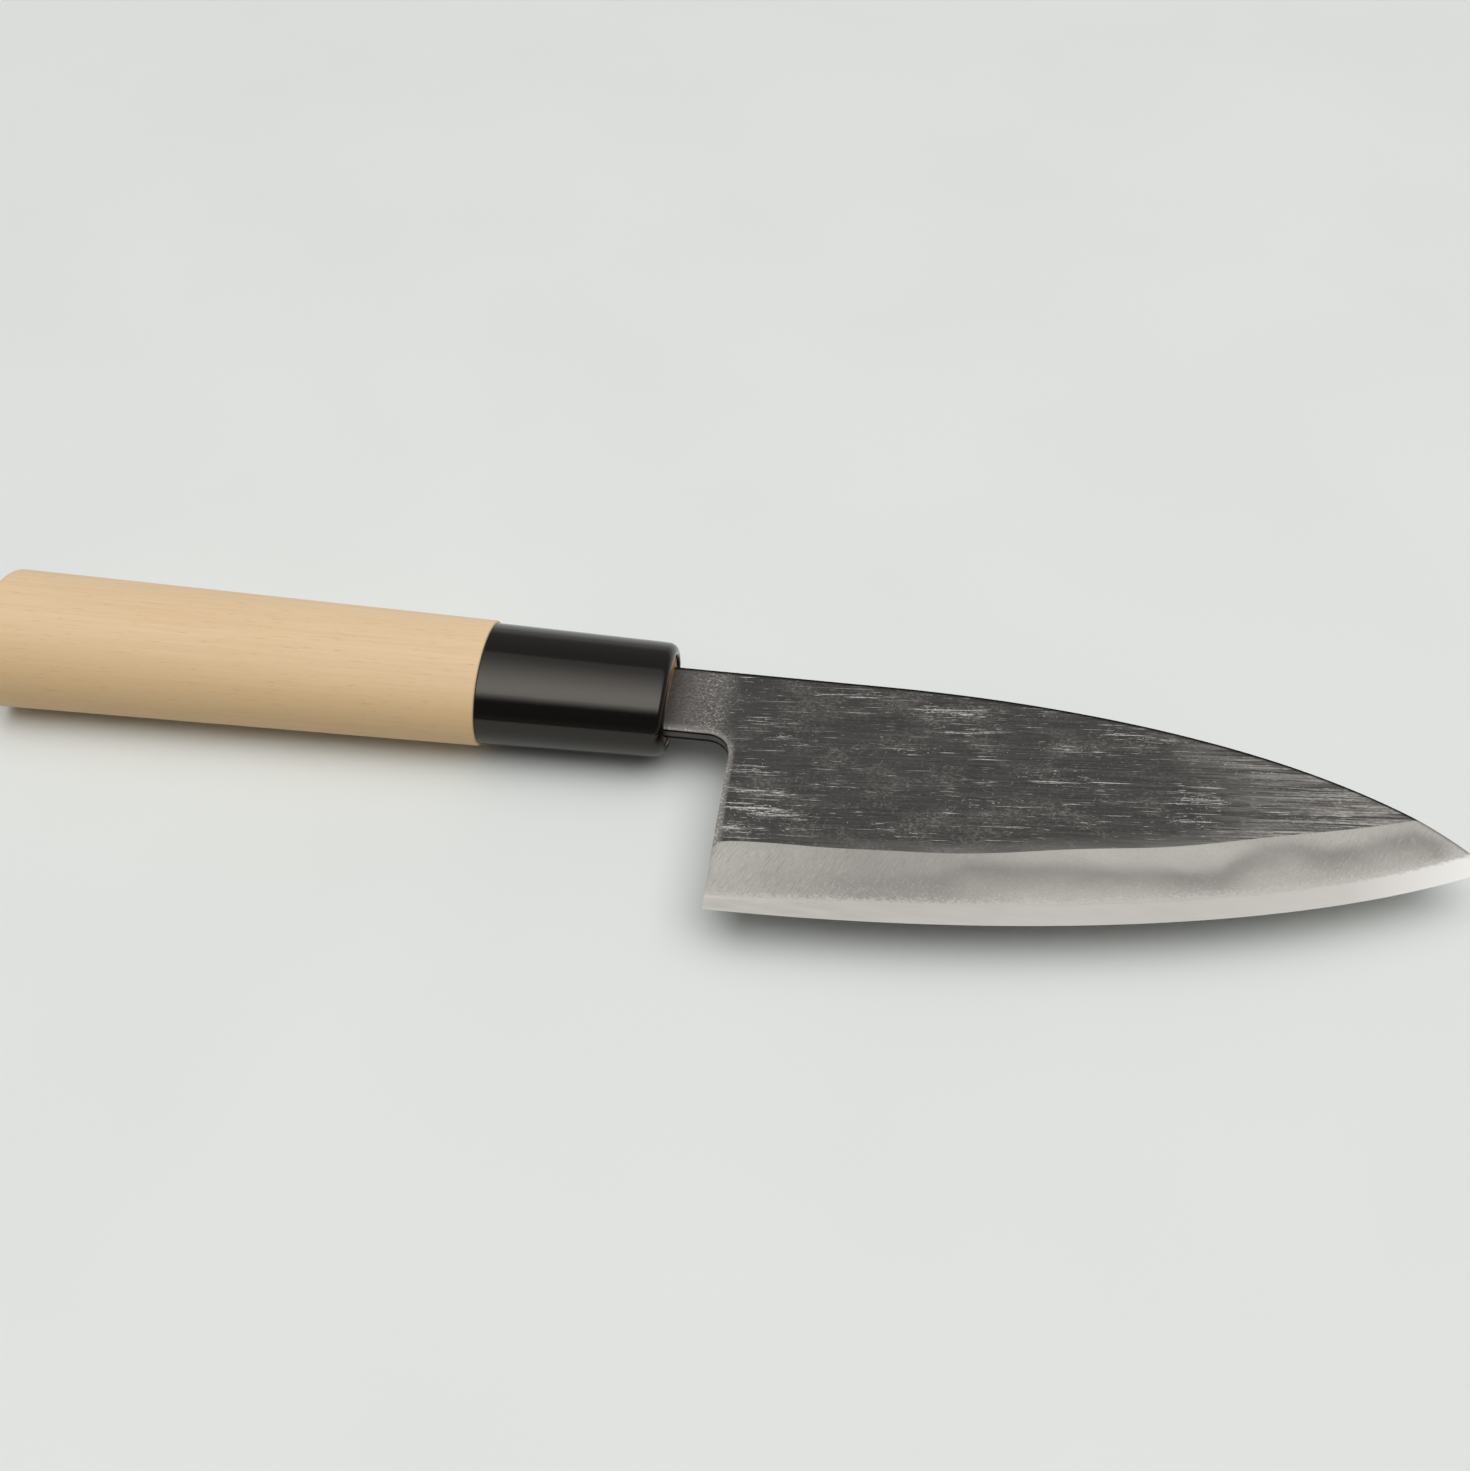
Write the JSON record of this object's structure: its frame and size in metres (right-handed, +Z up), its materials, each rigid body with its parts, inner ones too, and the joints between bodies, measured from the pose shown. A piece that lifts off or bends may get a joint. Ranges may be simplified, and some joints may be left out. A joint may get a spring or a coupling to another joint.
{
  "type": "kitchen knife",
  "caption": "Small pointed fish knife with a deep laminated blade, black forge-scale flats, ground bevels and an oval wooden handle with a glossy black ferrule.",
  "frame": {"origin": "under the middle of the knife's box, on the surface that it lies on", "axes": "+X along the handle from the butt to the point, +Y from the edge to the spine, +Z up through the right face of the blade"},
  "size_m": [0.245, 0.055, 0.0199],
  "materials": {
    "core_steel": "finely honed bright carbon steel",
    "forged_iron": "black forge scale with worn lengthwise streaks on the flats, matte ground grey on the bevels",
    "magnolia_wood": "bare satin-sanded pale wood",
    "black_plastic": "glossy moulded black"
  },
  "bodies": {
    "root": {"hard_steel_core": "core_steel", "right_cladding": "forged_iron", "left_cladding": "forged_iron", "handle": "magnolia_wood", "ferrule": "black_plastic"}
  },
  "joints": []
}
